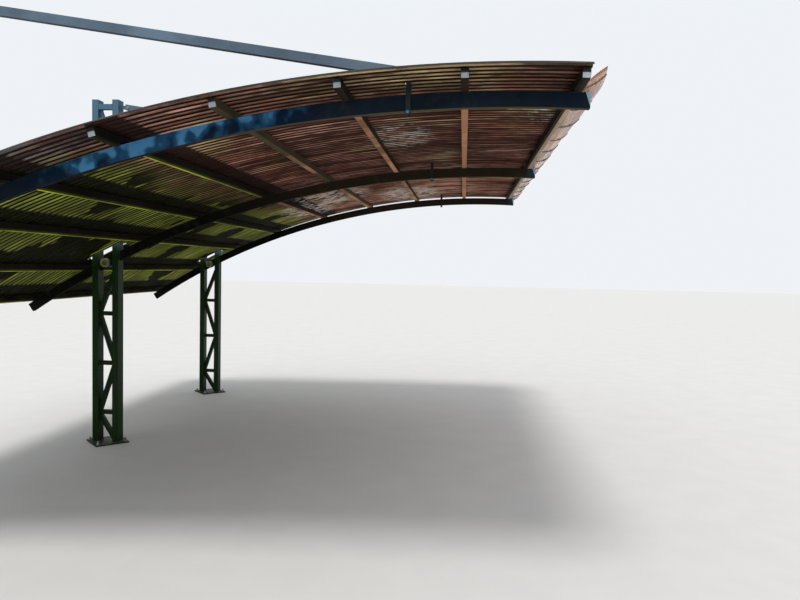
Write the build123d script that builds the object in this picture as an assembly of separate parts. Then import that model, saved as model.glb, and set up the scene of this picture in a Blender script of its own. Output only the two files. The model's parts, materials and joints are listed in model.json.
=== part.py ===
from build123d import *
import os
from math import asin, cos, degrees, radians, sin

# A cantilever carport for two cars, parked side by side between its masts.
# Three lattice masts stand in one row. Each carries a curved box-section arch, hung by a stay from the mast top.
# Nine purlins lie on the arches and carry eight curved corrugated sheets, with a gutter strip at the high end.
# Millimetres. +X runs up the roof to its high end, +Y along the row of masts, +Z up.
# The origin is on the ground under the middle mast, at the underside of its base plate.

# Row of masts
BAY = 2700
MAST_NAMES = ("front", "middle", "rear")

# Mast
MAST_HEIGHT = 3290
CHORD_SPACING = 200
CHORD_X = 60
CHORD_Y = 100
CHORD_WALL = 3
LACING_TUBE = 40
LACING_WALL = 2.5
FIRST_STRUT = 294
STRUT_PITCH = 481
STRUTS_BELOW_ARCH = 3
STRUTS_ABOVE_ARCH = 2
DIAGONAL_SETBACK = 30
TOP_BAR = 50
TOP_BAR_DROP = 42

# Base plate, a square laid with its diagonal along X
PLATE_SIDE = 310
PLATE_THICKNESS = 12
ANCHOR_REACH = 180
ANCHOR_HOLE = 18

# Arch, measured at its upper face
ARCH_RADIUS = 8050
APEX_X = 3670
APEX_Z = 2680
ARCH_LOW_X = -800
ARCH_HIGH_X = 4045
ARCH_DEPTH = 80
ARCH_WIDTH = 40
ARCH_WALL = 3

# Rings welded to both faces of the arch between the mast's chords
RING_OUTER = 86
RING_BORE = 44
RING_LENGTH = 28
RING_X = -28

# Purlins, with the gaps between them along the curve, from the high end down
HIGH_PURLIN_X = 3975
PURLIN_GAPS = (571, 621, 632, 644, 676, 591, 647, 586)
PURLIN_HEIGHT = 50
PURLIN_WIDTH = 40
PURLIN_WALL = 2
PURLIN_OVERHANG = 280

# Corrugated sheets
WAVE_PITCH = 66
WAVE_HEIGHT = 18
SHEET_THICKNESS = 1.5
SHEET_COUNT = 8
EDGE_SHEET_WAVES = 4
SHEET_SIDE_PAST = 56
SHEET_LOW_PAST = 110
SHEET_HIGH_PAST = 5
LAP_GAP = 0.3
SLOT_CLEARANCE = 30

# Stays and their ends
STAY_HEIGHT = 50
STAY_WIDTH = 40
STAY_WALL = 2.5
STAY_DROP = 55
STAY_ABOVE_ARCH = 115
STAY_START = 52
LUG_THICKNESS = 12
LUG_HEIGHT = 34
LUG_REACH = 110
HANGER_X = 3110
HANGER_BAR = 24
HANGER_THICKNESS = 6
HANGER_BELOW_ARCH = 22
HANGER_ABOVE_STAY = 4
HANGER_BOLT = 12
HANGER_NUT = 20
HANGER_NUT_THICKNESS = 8
STAY_PAST_HANGER = 45
HANGER_SLOT_CLEARANCE = 3

# Gutter strip past the high purlin
GUTTER_RADIUS = 150
GUTTER_FLAT = 18
GUTTER_TURN = 48
GUTTER_THICKNESS = 2.5
GUTTER_SHORT = 80

# Gap left beside anything that is fitted and not welded
FIT = 0.3

# Values worked out from the sizes above
ARCH_CENTRE_Z = APEX_Z - ARCH_RADIUS
CHORD_OUT = CHORD_SPACING / 2 + CHORD_X / 2
CHORD_IN = CHORD_SPACING / 2 - CHORD_X / 2
ROOF_HALF = BAY + PURLIN_OVERHANG
SHEET_BASE = ARCH_RADIUS + PURLIN_HEIGHT
SHEET_HALF = ROOF_HALF + SHEET_SIDE_PAST
EDGE_SHEET = EDGE_SHEET_WAVES * WAVE_PITCH
FULL_SHEET = 2 * (SHEET_HALF - EDGE_SHEET) / (SHEET_COUNT - 2)
FULL_SHEET_WAVES = round(FULL_SHEET / WAVE_PITCH)
STAY_TOP_Z = MAST_HEIGHT - STAY_DROP
MAST_PLACES = dict(zip(MAST_NAMES, (-BAY, 0, BAY)))


def angle_at(x):
    """Angle from the apex, in radians, of the point of the arch's upper face at x."""
    return asin((x - APEX_X) / ARCH_RADIUS)


def arch_point(angle, radius, y=0):
    return Vector(APEX_X + radius * sin(angle), y, ARCH_CENTRE_Z + radius * cos(angle))


def arch_plane(angle, radius, y=0):
    """Plane on the curve: its x runs up the roof, its y along the row and its z outwards."""
    return Plane(origin=arch_point(angle, radius, y), x_dir=(cos(angle), 0, -sin(angle)),
                 z_dir=(sin(angle), 0, cos(angle)))


def curved_bar(low_angle, high_angle, outer_radius, depth, width, y=0):
    """Solid bar of rectangular section that follows the arch's curve."""
    start = Plane(origin=arch_point(low_angle, outer_radius - depth / 2, y),
                  x_dir=(sin(low_angle), 0, cos(low_angle)), z_dir=(cos(low_angle), 0, -sin(low_angle)))
    axis = Axis((APEX_X, y, ARCH_CENTRE_Z), (0, 1, 0))
    return revolve(start * Rectangle(depth, width), axis=axis, revolution_arc=degrees(high_angle - low_angle))


def rod_along_y(x, z, diameter, y_from, y_to):
    return Plane(origin=(x, y_from, z), x_dir=(1, 0, 0), z_dir=(0, 1, 0)) * Cylinder(
        diameter / 2, y_to - y_from, align=(Align.CENTER, Align.CENTER, Align.MIN))


def nut_along_y(x, z, across, y_from, thickness):
    section = Plane(origin=(x, y_from, z), x_dir=(1, 0, 0), z_dir=(0, 1, 0)) * RegularPolygon(
        across / 2, 6, major_radius=False)
    return extrude(section, amount=thickness)


def bar_between(start, end, height, width, extra=0):
    """Straight bar in an XZ plane from start to end, lengthened by extra at both ends."""
    run = end - start
    along = run.normalized()
    plane = Plane(origin=(start + end) / 2, x_dir=along, z_dir=Vector(0, 1, 0).cross(along) * -1)
    return plane * Box(run.length + 2 * extra, width, height)


ARCH_LOW_ANGLE = angle_at(ARCH_LOW_X)
ARCH_HIGH_ANGLE = angle_at(ARCH_HIGH_X)
PURLIN_ANGLES = [angle_at(HIGH_PURLIN_X) - sum(PURLIN_GAPS[:above]) / ARCH_RADIUS
                 for above in range(len(PURLIN_GAPS) + 1)]
ARCH_AT_MAST = angle_at(0)
ARCH_MIDDLE = arch_point(ARCH_AT_MAST, ARCH_RADIUS - ARCH_DEPTH / 2)
RING_MIDDLE = arch_point(angle_at(RING_X), ARCH_RADIUS - ARCH_DEPTH / 2)
HANGER_ANGLE = angle_at(HANGER_X)
HANGER_ARCH_TOP = arch_point(HANGER_ANGLE, ARCH_RADIUS).Z
STAY_SLOPE = (HANGER_ARCH_TOP + STAY_ABOVE_ARCH - STAY_TOP_Z) / (HANGER_X - CHORD_OUT)


def base_plate(y):
    plate = Pos(0, y, 0) * Rot(0, 0, 45) * Box(PLATE_SIDE, PLATE_SIDE, PLATE_THICKNESS,
                                                align=(Align.CENTER, Align.CENTER, Align.MIN))
    for dx, dy in ((1, 0), (-1, 0), (0, 1), (0, -1)):
        hole = Pos(dx * ANCHOR_REACH, y + dy * ANCHOR_REACH, 0)
        plate -= hole * Cylinder(ANCHOR_HOLE / 2, 3 * PLATE_THICKNESS)
    return plate


def chord(x, y):
    """One capped mast tube, with windows that the arch passes through."""
    height = MAST_HEIGHT - PLATE_THICKNESS
    seat = (Align.CENTER, Align.CENTER, Align.MIN)
    tube = Box(CHORD_X, CHORD_Y, height, align=seat)
    tube -= Box(CHORD_X - 2 * CHORD_WALL, CHORD_Y - 2 * CHORD_WALL, height - CHORD_WALL, align=seat)
    tube = Pos(x, y, PLATE_THICKNESS) * tube
    window = curved_bar(ARCH_LOW_ANGLE, ARCH_HIGH_ANGLE, ARCH_RADIUS + FIT,
                        ARCH_DEPTH + 2 * FIT, ARCH_WIDTH + 2 * FIT, y)
    return tube - window


def lacing_lines():
    """Centre lines of the struts and diagonals, below and above the arch, as pairs of XZ points."""
    low = [FIRST_STRUT + k * STRUT_PITCH for k in range(STRUTS_BELOW_ARCH)]
    top = MAST_HEIGHT - TOP_BAR_DROP - LACING_TUBE
    arch_under = ARCH_MIDDLE.Z - ARCH_DEPTH
    arch_over = ARCH_MIDDLE.Z + ARCH_DEPTH + PURLIN_HEIGHT
    high_pitch = (top - arch_over) / (STRUTS_ABOVE_ARCH + 1)
    high = [arch_over + (k + 1) * high_pitch for k in range(STRUTS_ABOVE_ARCH)]
    below = []
    above = []
    side = -1
    for bottom, head in zip([PLATE_THICKNESS] + low, low + [arch_under]):
        below.append(((side * CHORD_IN, head - DIAGONAL_SETBACK), (-side * CHORD_IN, bottom + DIAGONAL_SETBACK)))
        side = -side
    for bottom, head in zip([arch_over] + high, high + [top]):
        above.append(((side * CHORD_IN, head - DIAGONAL_SETBACK), (-side * CHORD_IN, bottom + DIAGONAL_SETBACK)))
        side = -side
    below += [((-CHORD_IN, z), (CHORD_IN, z)) for z in low]
    above += [((-CHORD_IN, z), (CHORD_IN, z)) for z in high]
    return below, above


def lacing(lines, y, top_bar=False):
    """Square tubes welded between the chords' inner faces."""
    space = Pos(0, y, PLATE_THICKNESS) * Box(2 * CHORD_IN, 2 * CHORD_Y, MAST_HEIGHT,
                                             align=(Align.CENTER, Align.CENTER, Align.MIN))
    shapes = []
    for shrink in (0, LACING_WALL):
        size = LACING_TUBE - 2 * shrink
        bars = [bar_between(Vector(a[0], y, a[1]), Vector(b[0], y, b[1]), size, size, CHORD_IN) for a, b in lines]
        if top_bar:
            place = Pos(0, y - CHORD_Y / 2 + TOP_BAR / 2, MAST_HEIGHT - TOP_BAR_DROP - TOP_BAR / 2)
            bars.append(place * Box(2 * CHORD_IN, TOP_BAR - 2 * shrink, TOP_BAR - 2 * shrink))
        shape = bars[0]
        for bar in bars[1:]:
            shape += bar
        shapes.append(shape & space)
    return shapes[0] - shapes[1]


def arch(y):
    """Curved tube, closed at both ends, with a ring welded to each face inside the mast."""
    end_wall = ARCH_WALL / ARCH_RADIUS
    tube = curved_bar(ARCH_LOW_ANGLE, ARCH_HIGH_ANGLE, ARCH_RADIUS, ARCH_DEPTH, ARCH_WIDTH, y)
    tube -= curved_bar(ARCH_LOW_ANGLE + end_wall, ARCH_HIGH_ANGLE - end_wall, ARCH_RADIUS - ARCH_WALL,
                       ARCH_DEPTH - 2 * ARCH_WALL, ARCH_WIDTH - 2 * ARCH_WALL, y)
    face = ARCH_WIDTH / 2
    for y_from, y_to in ((y - face - RING_LENGTH, y - face), (y + face, y + face + RING_LENGTH)):
        tube += (rod_along_y(RING_MIDDLE.X, RING_MIDDLE.Z, RING_OUTER, y_from, y_to)
                 - rod_along_y(RING_MIDDLE.X, RING_MIDDLE.Z, RING_BORE, y_from, y_to))
    return tube


def purlin(angle):
    """Capped rectangular tube that lies across the arches."""
    length = 2 * ROOF_HALF
    tube = Box(PURLIN_WIDTH, length, PURLIN_HEIGHT)
    tube -= Box(PURLIN_WIDTH - 2 * PURLIN_WALL, length - 2 * PURLIN_WALL, PURLIN_HEIGHT - 2 * PURLIN_WALL)
    return arch_plane(angle, ARCH_RADIUS + PURLIN_HEIGHT / 2) * tube


def sheet_path():
    """Side view of the roof: one straight length tangent to the curve on each purlin."""
    angles = PURLIN_ANGLES[::-1]
    low = arch_plane(angles[0], SHEET_BASE)
    points = [low.origin - low.x_dir * SHEET_LOW_PAST]
    for first, second in zip(angles, angles[1:]):
        points.append(arch_point((first + second) / 2, SHEET_BASE / cos((second - first) / 2)))
    high = arch_plane(angles[-1], SHEET_BASE)
    points.append(high.origin + high.x_dir * (PURLIN_WIDTH / 2 + SHEET_HIGH_PAST))
    return points


def wave_profile(waves, pitch):
    """Corrugated section from crest to crest. Its far edge laps over the next sheet's first crest."""
    lap = SHEET_THICKNESS + LAP_GAP
    under = [(0, WAVE_HEIGHT)]
    for wave in range(waves):
        last = wave == waves - 1
        under.append(((wave + 0.5) * pitch, 0))
        under.append(((wave + 1) * pitch, WAVE_HEIGHT + (lap if last else 0)))
    under.append(((waves + 0.25) * pitch, WAVE_HEIGHT / 2 + lap))
    over = [(across, up + SHEET_THICKNESS) for across, up in under]
    return under + over[::-1]


def roof_sheet(number):
    """Sheets count from 1 at the near end. The first and the last are narrow ones."""
    is_edge = number in (1, SHEET_COUNT)
    waves = EDGE_SHEET_WAVES if is_edge else FULL_SHEET_WAVES
    width = EDGE_SHEET if is_edge else FULL_SHEET
    near = -SHEET_HALF if number == 1 else -SHEET_HALF + EDGE_SHEET + (number - 2) * FULL_SHEET
    far = near + width
    points = sheet_path()
    along = (points[1] - points[0]).normalized()
    start = Plane(origin=points[0] + Vector(0, near, 0), x_dir=(0, 1, 0), z_dir=along)
    section = start * make_face(Polyline(*wave_profile(waves, width / waves), close=True).edges())
    path = Polyline(*[point + Vector(0, near, 0) for point in points])
    sheet = sweep(section, path=path, transition=Transition.RIGHT)
    slot_half = CHORD_Y / 2 + SLOT_CLEARANCE
    for y in MAST_PLACES.values():
        if near - slot_half < y < far + slot_half:
            sheet -= mast_slot(y)
            for bar_y in (y - ARCH_WIDTH / 2 - HANGER_THICKNESS / 2, y + ARCH_WIDTH / 2 + HANGER_THICKNESS / 2):
                sheet -= hanger_slot(bar_y)
    return sheet


def mast_slot(y):
    return Pos(0, y, MAST_HEIGHT / 2) * Box(2 * (CHORD_OUT + SLOT_CLEARANCE), CHORD_Y + 2 * SLOT_CLEARANCE,
                                            MAST_HEIGHT)


def hanger_slot(y):
    return Pos(HANGER_X, y, APEX_Z) * Box(HANGER_BAR + 2 * HANGER_SLOT_CLEARANCE,
                                          HANGER_THICKNESS + 2 * HANGER_SLOT_CLEARANCE, 4 * ARCH_DEPTH)


def stay_z(x):
    """Height of the stay's centre line."""
    return STAY_TOP_Z + STAY_SLOPE * (x - CHORD_OUT)


def stay(y):
    start = Vector(CHORD_OUT + STAY_START, y, stay_z(CHORD_OUT + STAY_START))
    end = Vector(HANGER_X + STAY_PAST_HANGER, y, stay_z(HANGER_X + STAY_PAST_HANGER))
    along = (end - start).normalized()
    tube = bar_between(start, end, STAY_HEIGHT, STAY_WIDTH)
    tube -= bar_between(start - along * STAY_WALL, end - along * STAY_WALL, STAY_HEIGHT - 2 * STAY_WALL,
                        STAY_WIDTH - 2 * STAY_WALL)
    return tube


def stay_lug(y):
    """Plate welded to the chord that enters the stay's open end and stands on its lower wall."""
    start = Vector(CHORD_OUT, y, stay_z(CHORD_OUT))
    end = Vector(CHORD_OUT + LUG_REACH, y, stay_z(CHORD_OUT + LUG_REACH))
    along = (end - start).normalized()
    drop = Vector(0, 1, 0).cross(along) * (STAY_HEIGHT / 2 - STAY_WALL - LUG_HEIGHT / 2)
    plate = bar_between(start + drop, end + drop, LUG_HEIGHT, LUG_THICKNESS, LUG_HEIGHT)
    keep = Pos(CHORD_OUT, y, STAY_TOP_Z) * Box(LUG_REACH, LUG_THICKNESS, 4 * LUG_HEIGHT,
                                               align=(Align.MIN, Align.CENTER, Align.CENTER))
    return plate & keep


def hanger(y):
    """Two flat bars, one on each face of the arch, welded to the stay and bolted together under the arch."""
    low_bolt = HANGER_ARCH_TOP - (ARCH_DEPTH + HANGER_BOLT / 2) / cos(HANGER_ANGLE) - FIT
    bottom = HANGER_ARCH_TOP - ARCH_DEPTH - HANGER_BELOW_ARCH
    top = stay_z(HANGER_X) + STAY_HEIGHT / 2 + HANGER_ABOVE_STAY
    inner = ARCH_WIDTH / 2
    outer = inner + HANGER_THICKNESS
    shape = rod_along_y(HANGER_X, low_bolt, HANGER_BOLT, y - inner, y + inner)
    for side in (-1, 1):
        middle = y + side * (inner + outer) / 2
        shape += Pos(HANGER_X, middle, (bottom + top) / 2) * Box(HANGER_BAR, HANGER_THICKNESS, top - bottom)
        nut_from = y + outer if side > 0 else y - outer - HANGER_NUT_THICKNESS
        shape += nut_along_y(HANGER_X, low_bolt, HANGER_NUT, nut_from, HANGER_NUT_THICKNESS)
    return shape


def gutter():
    """Curved strip of the roof's sheet that lies on the arch ends and turns up past the high purlin."""
    plane = arch_plane(PURLIN_ANGLES[0], ARCH_RADIUS + PURLIN_HEIGHT)
    face = (plane.origin + plane.x_dir * PURLIN_WIDTH / 2).X + FIT
    seat = arch_point(angle_at(face), ARCH_RADIUS).Z
    outer = GUTTER_RADIUS
    inner = GUTTER_RADIUS - GUTTER_THICKNESS
    bend = face + GUTTER_FLAT
    centre = (bend, seat + GUTTER_RADIUS)
    side = Line((face, seat), (bend, seat))
    side += CenterArc(centre, outer, -90, GUTTER_TURN)
    tip_out = side.edges()[-1] @ 1
    inner_arc = CenterArc(centre, inner, -90, GUTTER_TURN)
    tip_in = inner_arc @ 1
    side += Line(tip_out, tip_in)
    side += inner_arc
    side += Line(inner_arc @ 0, (face, seat + GUTTER_THICKNESS))
    side += Line((face, seat + GUTTER_THICKNESS), (face, seat))
    section = Plane.XZ * make_face(side.edges())
    half = ROOF_HALF - GUTTER_SHORT
    return Pos(0, half, 0) * extrude(section, amount=2 * half)


def build_parts():
    parts = {}
    below, above = lacing_lines()
    for name, y in MAST_PLACES.items():
        parts[f"{name}_base_plate"] = base_plate(y)
        parts[f"{name}_mast_chords"] = Compound(children=[chord(-CHORD_SPACING / 2, y), chord(CHORD_SPACING / 2, y)])
        parts[f"{name}_mast_lacing"] = Compound(children=[lacing(below, y), lacing(above, y, top_bar=True)])
        parts[f"{name}_arch"] = arch(y)
        parts[f"{name}_stay"] = stay(y)
        parts[f"{name}_stay_lug"] = stay_lug(y)
        parts[f"{name}_hanger"] = hanger(y)
    for number, angle in enumerate(PURLIN_ANGLES, start=1):
        parts[f"purlin_{number}"] = purlin(angle)
    for number in range(1, SHEET_COUNT + 1):
        parts[f"roof_sheet_{number}"] = roof_sheet(number)
    parts["gutter"] = gutter()
    return parts


os.makedirs("parts", exist_ok=True)
for node, shape in build_parts().items():
    export_step(shape, f"parts/{node}.step")
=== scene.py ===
"""Cantilever carport: lattice masts, curved arches on stays, and a brown translucent corrugated roof."""

import json
from math import asin, atan2, cos, pi, sin

import bmesh
import bpy
from mathutils import Matrix, Vector


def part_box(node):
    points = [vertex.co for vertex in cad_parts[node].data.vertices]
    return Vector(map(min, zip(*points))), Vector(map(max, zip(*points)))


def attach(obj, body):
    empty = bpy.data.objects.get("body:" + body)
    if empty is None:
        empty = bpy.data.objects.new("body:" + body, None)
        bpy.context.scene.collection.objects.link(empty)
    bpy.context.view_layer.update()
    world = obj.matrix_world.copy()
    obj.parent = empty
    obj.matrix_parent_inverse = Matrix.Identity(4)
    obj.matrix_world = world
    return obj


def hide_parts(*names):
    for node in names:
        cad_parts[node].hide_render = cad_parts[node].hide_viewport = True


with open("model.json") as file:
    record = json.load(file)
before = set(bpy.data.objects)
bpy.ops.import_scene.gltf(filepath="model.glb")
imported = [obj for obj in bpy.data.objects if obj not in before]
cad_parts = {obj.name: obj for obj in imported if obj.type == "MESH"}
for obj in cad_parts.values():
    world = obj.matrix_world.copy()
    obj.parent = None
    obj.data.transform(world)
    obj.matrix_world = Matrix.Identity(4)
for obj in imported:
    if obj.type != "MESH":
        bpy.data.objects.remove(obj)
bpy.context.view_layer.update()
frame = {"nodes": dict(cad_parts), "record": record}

bl_info = {
    "name": "Cantilever carport",
    "version": (1, 0, 0),
    "blender": (4, 5, 0),
    "location": "View3D > Sidebar > Carport",
    "description": "Dresses the steel frame and the roof of a cantilever carport",
    "category": "Object",
}

# Sizes of the frame, in metres, as its source gives them
BAY = 2.7
MASTS = {"front": -BAY, "middle": 0.0, "rear": BAY}
MAST_HEIGHT = 3.29
CHORD_MIDDLE = 0.1
CHORD_OUT = 0.13
CHORD_IN = 0.07
CHORD_Y = 0.1
LACING_TUBE = 0.04
FIRST_STRUT = 0.294
STRUT_PITCH = 0.481
STRUTS_BELOW = 3
STRUTS_ABOVE = 2
DIAGONAL_SETBACK = 0.03
TOP_BAR = 0.05
TOP_BAR_DROP = 0.042
PLATE_THICKNESS = 0.012
ANCHOR_REACH = 0.18
ARCH_RADIUS = 8.05
APEX_X = 3.67
APEX_Z = 2.68
ARCH_DEPTH = 0.08
ARCH_WIDTH = 0.04
ARCH_CENTRE_Z = APEX_Z - ARCH_RADIUS
ARCH_END_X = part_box("front_arch")[1][0]
RING_OUTER = 0.043
RING_X = -0.028
HIGH_PURLIN_X = 3.975
PURLIN_GAPS = (0.571, 0.621, 0.632, 0.644, 0.676, 0.591, 0.647, 0.586)
PURLIN_HEIGHT = 0.05
PURLIN_WIDTH = 0.04
PURLIN_PAST_ARCH = 0.28
ROOF_HALF = BAY + PURLIN_PAST_ARCH
SHEET_PAST_PURLIN = 0.056
SHEET_HALF = ROOF_HALF + SHEET_PAST_PURLIN
SHEET_BASE = ARCH_RADIUS + PURLIN_HEIGHT
SHEET_COUNT = 8
EDGE_WAVES = 4
FULL_WAVES = 14
LAP_WAVES = 0.25
SHEET_LOW_PAST = 0.11
SHEET_HIGH_PAST = 0.005
SHEET_LAP = 0.0018
MAST_SLOT = (0.16, 0.08)
HANGER_X = 3.11
HANGER_SLOT = (0.015, 0.006)
HANGER_BAR_Y = 0.023
HANGER_BAR_HALF = 0.012
HANGER_BOLT = 0.012
HANGER_NUT_FACE = 0.034
HANGER_CAP = 0.0095
STAY_HEIGHT = 0.05
STAY_WIDTH = 0.04
STAY_TOP_DROP = 0.055
STAY_TOP_Z = MAST_HEIGHT - STAY_TOP_DROP
STAY_ABOVE_ARCH = 0.115
STAY_START = 0.052
STAY_PIN_IN = 0.03
STAY_PIN_DROP = 0.004
LUG_THICKNESS = 0.012
LUG_HEIGHT = 0.034
LUG_DROP = 0.005
GUTTER_RADIUS = 0.15
GUTTER_FLAT = 0.018
GUTTER_TURN = 48 * pi / 180
GUTTER_THICKNESS = 0.0025
GUTTER_SHORT = 0.08
GUTTER_HALF = ROOF_HALF - GUTTER_SHORT
FIT = 0.0003
CORNERS = ((-1, -1), (1, -1), (1, 1), (-1, 1))


def angle_at(x):
    """Angle from the apex of the point of the arch's upper face at x."""
    return asin((x - APEX_X) / ARCH_RADIUS)


def arch_point(angle, radius, y=0.0):
    return Vector((APEX_X + radius * sin(angle), y, ARCH_CENTRE_Z + radius * cos(angle)))


def arch_place(angle, radius, y=0.0):
    """Placement on the curve: x runs up the roof, y along the row of masts and z outwards."""
    up_roof = Vector((cos(angle), 0, -sin(angle)))
    outwards = Vector((sin(angle), 0, cos(angle)))
    turn = Matrix((up_roof, Vector((0, 1, 0)), outwards)).transposed()
    return Matrix.Translation(arch_point(angle, radius, y)) @ turn.to_4x4()


PURLIN_ANGLES = [angle_at(HIGH_PURLIN_X) - sum(PURLIN_GAPS[:above]) / ARCH_RADIUS
                 for above in range(len(PURLIN_GAPS) + 1)]
PURLIN_XS = [arch_point(angle, ARCH_RADIUS).x for angle in PURLIN_ANGLES]
ARCH_MIDDLE = arch_point(angle_at(0), ARCH_RADIUS - ARCH_DEPTH / 2)
RING_MIDDLE = arch_point(angle_at(RING_X), ARCH_RADIUS - ARCH_DEPTH / 2)
HANGER_Z = arch_point(angle_at(HANGER_X), ARCH_RADIUS).z
STAY_SLOPE = (HANGER_Z + STAY_ABOVE_ARCH - STAY_TOP_Z) / (HANGER_X - CHORD_OUT)


def stay_z(x):
    return STAY_TOP_Z + STAY_SLOPE * (x - CHORD_OUT)


# Settings that a user may change
class CarportSizes(bpy.types.PropertyGroup):
    wave_pitch: bpy.props.FloatProperty(
        name="Wave pitch", description="Distance from crest to crest of the sheets", default=0.066,
        unit="LENGTH")
    wave_height: bpy.props.FloatProperty(
        name="Wave height", description="Depth of the sheets' corrugation", default=0.018, unit="LENGTH")
    sheet_thickness: bpy.props.FloatProperty(
        name="Sheet thickness", description="Thickness of the corrugated plastic", default=0.0015,
        unit="LENGTH")
    screw_waves: bpy.props.IntProperty(
        name="Waves per screw", description="Number of waves from one roofing screw to the next", default=4)
    tie_spacing: bpy.props.FloatProperty(
        name="Tie spacing", description="Distance between the wire ties under the gutter", default=0.48,
        unit="LENGTH")
    tie_wire: bpy.props.FloatProperty(
        name="Tie wire", description="Diameter of the wire ties", default=0.006, unit="LENGTH")
    weld_width: bpy.props.FloatProperty(
        name="Weld width", description="Width of the weld beads", default=0.007, unit="LENGTH")


class CarportColours(bpy.types.PropertyGroup):
    sheet_brown: bpy.props.FloatVectorProperty(
        name="Sheet brown", description="Colour of the sheets up the roof", subtype="COLOR",
        default=(0.38, 0.125, 0.078))
    # Sheet olive is painted green light on the sheets' underside low down
    sheet_olive: bpy.props.FloatVectorProperty(
        name="Sheet olive", description="Colour of the mossy sheets low down", subtype="COLOR",
        default=(0.066, 0.085, 0.012))
    film: bpy.props.FloatVectorProperty(
        name="Gutter film", description="Colour of the gutter strip", subtype="COLOR",
        default=(0.72, 0.41, 0.27))
    # Mast paint is painted shade, tinted green as by light off grass
    mast: bpy.props.FloatVectorProperty(
        name="Mast paint", description="Colour of the masts in the shade", subtype="COLOR",
        default=(0.0052, 0.0225, 0.0030))
    # Bleached paint is painted sunlight and sky reflection on the masts above the roof
    mast_sunlit: bpy.props.FloatVectorProperty(
        name="Bleached paint", description="Colour of the masts above the roof", subtype="COLOR",
        default=(0.090, 0.185, 0.255))
    arch: bpy.props.FloatVectorProperty(
        name="Arch paint", description="Colour of the arches", subtype="COLOR",
        default=(0.0070, 0.0130, 0.0225))
    purlin: bpy.props.FloatVectorProperty(
        name="Purlin paint", description="Colour of the purlins", subtype="COLOR",
        default=(0.012, 0.0105, 0.0075))
    stay: bpy.props.FloatVectorProperty(
        name="Stay paint", description="Colour of the stays", subtype="COLOR",
        default=(0.085, 0.135, 0.19))
    zinc: bpy.props.FloatVectorProperty(
        name="Zinc", description="Colour of the bolts and screws", subtype="COLOR",
        default=(0.34, 0.35, 0.35))
    floor: bpy.props.FloatVectorProperty(
        name="Floor", description="Colour of the floor", subtype="COLOR",
        default=(0.80, 0.79, 0.77))


# Shader nodes
class Pattern:
    """Output of a shader node. Arithmetic with it adds the math nodes that work it out."""

    def __init__(self, node, key=0):
        self.tree = node.id_data
        self.socket = node.outputs[key]

    def __add__(self, other):
        return calculate("ADD", self, other)

    def __sub__(self, other):
        return calculate("SUBTRACT", self, other)

    def __rsub__(self, other):
        return calculate("SUBTRACT", other, self)

    def __mul__(self, other):
        return calculate("MULTIPLY", self, other)


def set_inputs(node, inputs):
    """Sets a node's inputs or links them to patterns, by name or by number."""
    for key, value in inputs.items():
        if isinstance(value, Pattern):
            value.tree.links.new(value.socket, node.inputs[key])
        else:
            node.inputs[key].default_value = value


def add_node(tree, kind, inputs=None, **options):
    made = tree.nodes.new(kind)
    for name, value in options.items():
        setattr(made, name, value)
    set_inputs(made, inputs or {})
    return made


def calculate(operation, *values, clamp=False):
    """Math node on values of which at least one is a pattern."""
    tree = next(value.tree for value in values if isinstance(value, Pattern))
    inputs = dict(enumerate(values))
    return Pattern(add_node(tree, "ShaderNodeMath", inputs, operation=operation, use_clamp=clamp))


def larger(first, second):
    return calculate("MAXIMUM", first, second)


def away_from(value, middle):
    """Distance of a value from a middle one."""
    return calculate("ABSOLUTE", value - middle)


def remap(value, low, high, to_low=0.0, to_high=1.0):
    """Smooth step from one range to another."""
    inputs = {"Value": value, "From Min": low, "From Max": high, "To Min": to_low, "To Max": to_high}
    return Pattern(add_node(value.tree, "ShaderNodeMapRange", inputs, interpolation_type="SMOOTHSTEP"))


def blend_colours(factor, first, second):
    inputs = {0: factor, 6: first, 7: second}
    for key in (6, 7):
        if not isinstance(inputs[key], Pattern):
            inputs[key] = (*inputs[key], 1.0)
    return Pattern(add_node(factor.tree, "ShaderNodeMix", inputs, data_type="RGBA"), 2)


def scaled(colour, share):
    return tuple(share * part for part in colour)


def vector_math(operation, first, second=(0.0, 0.0, 0.0), key="Vector"):
    return Pattern(add_node(first.tree, "ShaderNodeVectorMath", {0: first, 1: second}, operation=operation), key)


def stretched(where, scale):
    return vector_math("MULTIPLY", where, scale)


def distance_from(where, middle, scale):
    """Distance from a point, with its own scale along each axis."""
    return vector_math("LENGTH", stretched(vector_math("SUBTRACT", where, middle), scale), key="Value")


def noise(where, scale, detail=3.0, roughness=0.5):
    inputs = {"Vector": where, "Scale": scale, "Detail": detail, "Roughness": roughness}
    return Pattern(add_node(where.tree, "ShaderNodeTexNoise", inputs))


def drawn_out(where, scale, detail=3.0, roughness=0.5):
    """Noise with its own scale along each axis."""
    return noise(stretched(where, scale), 1.0, detail, roughness)


def split(vector):
    """X, Y and Z of a vector."""
    parts = add_node(vector.tree, "ShaderNodeSeparateXYZ", {0: vector})
    return [Pattern(parts, axis) for axis in "XYZ"]


def surface_normal(tree):
    return Pattern(add_node(tree, "ShaderNodeNewGeometry"), "Normal")


def facing_up(where):
    """From -1 where the surface looks straight down to 1 where it looks straight up."""
    return split(surface_normal(where.tree))[2]


def bump(height, strength, distance):
    inputs = {"Height": height, "Strength": strength, "Distance": distance}
    return Pattern(add_node(height.tree, "ShaderNodeBump", inputs))


# Effects that finishes share, each of which becomes a node group
def edge_wear(where, radius, amount):
    """Mask of the worn outer edges of tubes and plates."""
    rounded = Pattern(add_node(where.tree, "ShaderNodeBevel", {"Radius": radius}, samples=4))
    alike = vector_math("DOT_PRODUCT", rounded, surface_normal(where.tree), "Value")
    chipped = remap(noise(where, 34.0, 5.0, 0.7), 0.48, 0.62)
    return {"Mask": remap(alike, 0.995, 0.85) * chipped * amount}


def settled_dust(where, amount):
    """Mask of the dust that lies on faces that look up."""
    coarse = remap(noise(where, 9.0, 6.0, 0.65), 0.36, 0.66)
    return {"Mask": remap(facing_up(where), 0.35, 0.95) * coarse * amount}


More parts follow.
